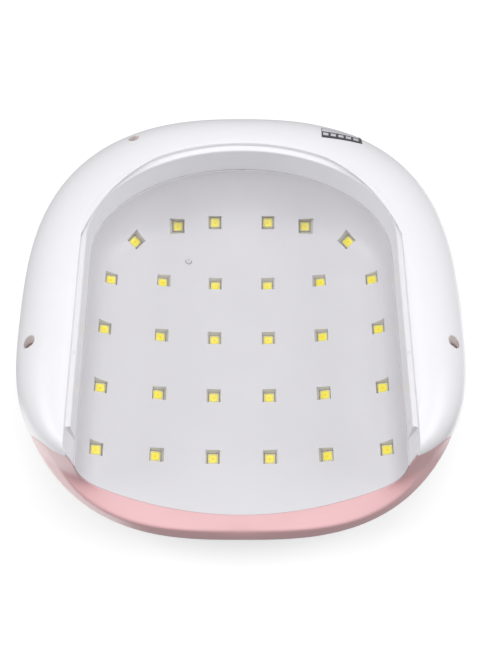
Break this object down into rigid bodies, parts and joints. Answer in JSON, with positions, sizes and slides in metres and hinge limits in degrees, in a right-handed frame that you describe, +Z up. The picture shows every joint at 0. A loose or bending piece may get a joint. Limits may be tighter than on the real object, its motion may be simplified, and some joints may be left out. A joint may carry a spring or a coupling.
{
  "type": "uv led nail lamp",
  "caption": "Domed tabletop lamp with an open-bottomed hand cavity, a grid of LEDs in a pale reflector liner, a coloured front visor and a push-button timer panel on top.",
  "frame": {"origin": "centre of the footprint on the table, at the level of the underside", "axes": "+Z up from the table; -Y towards the user, the side where the hand goes in; +X to the right as the user faces the lamp from -Y. The shell is mirror-symmetric about X = 0."},
  "size_m": [0.215, 0.2166, 0.09],
  "materials": {
    "white_shell": "glossy moulded ABS",
    "pink_trim": "glossy moulded ABS, pale pink",
    "reflector": "semi-gloss light grey",
    "circuit_board": "solder mask over glass-epoxy board",
    "led_package": "cream moulded LED body",
    "led_gel": "yellow encapsulating gel",
    "screw_steel": "plated steel",
    "inductor": "varnished copper winding on a core",
    "capacitor_sleeve": "sleeved can",
    "black_plastic": "moulded black plastic",
    "heat_sink": "extruded",
    "connector_plastic": "natural nylon",
    "panel_plastic": "glossy inlay",
    "display_window": "dark tinted window",
    "button_plastic": "glossy pale pink caps",
    "lead_red": "PVC insulation",
    "lead_grey": "PVC insulation",
    "magnet_steel": "nickel-plated",
    "label": "printed film, blank here"
  },
  "bodies": {
    "housing": {"base_shell": "white_shell", "top_cover": "white_shell", "front_trim": "pink_trim", "reflector_liner": "reflector", "led_board_centre": "circuit_board", "led_board_left": "circuit_board", "led_board_right": "circuit_board", "led_board_rear": "circuit_board", "led_board_corner_left": "circuit_board", "led_board_corner_right": "circuit_board", "led_packages": "led_package", "led_lenses": "led_gel", "led_board_screws": "screw_steel", "control_board": "circuit_board", "power_inductor": "inductor", "capacitors": "capacitor_sleeve", "power_transistors": "black_plastic", "heat_sink": "heat_sink", "board_connectors": "connector_plastic", "control_board_screws": "screw_steel", "panel_board": "circuit_board", "display_module": "black_plastic", "tact_switches": "black_plastic", "panel_board_screws": "screw_steel", "control_panel": "panel_plastic", "display_window": "display_window", "hand_sensor": "black_plastic", "dc_jack": "black_plastic", "power_lead": "lead_red", "panel_lead": "lead_grey", "led_leads": "lead_red", "case_screws": "screw_steel", "tray_magnets": "magnet_steel", "rating_label": "label"},
    "button_10s_cap": {"button_10s": "button_plastic"},
    "button_30s_cap": {"button_30s": "button_plastic"},
    "button_60s_cap": {"button_60s": "button_plastic"},
    "button_99s_cap": {"button_99s": "button_plastic"}
  },
  "joints": [
    {"name": "button_10s_press", "type": "slide", "parent": "housing", "child": "button_10s_cap", "axis": [0, 0, -1], "range_m": [0, 0.0008], "stiffness_N_per_m": 400},
    {"name": "button_30s_press", "type": "slide", "parent": "housing", "child": "button_30s_cap", "axis": [0, 0, -1], "range_m": [0, 0.0008], "stiffness_N_per_m": 400},
    {"name": "button_60s_press", "type": "slide", "parent": "housing", "child": "button_60s_cap", "axis": [0, 0, -1], "range_m": [0, 0.0008], "stiffness_N_per_m": 400},
    {"name": "button_99s_press", "type": "slide", "parent": "housing", "child": "button_99s_cap", "axis": [0, 0, -1], "range_m": [0, 0.0008], "stiffness_N_per_m": 400}
  ]
}
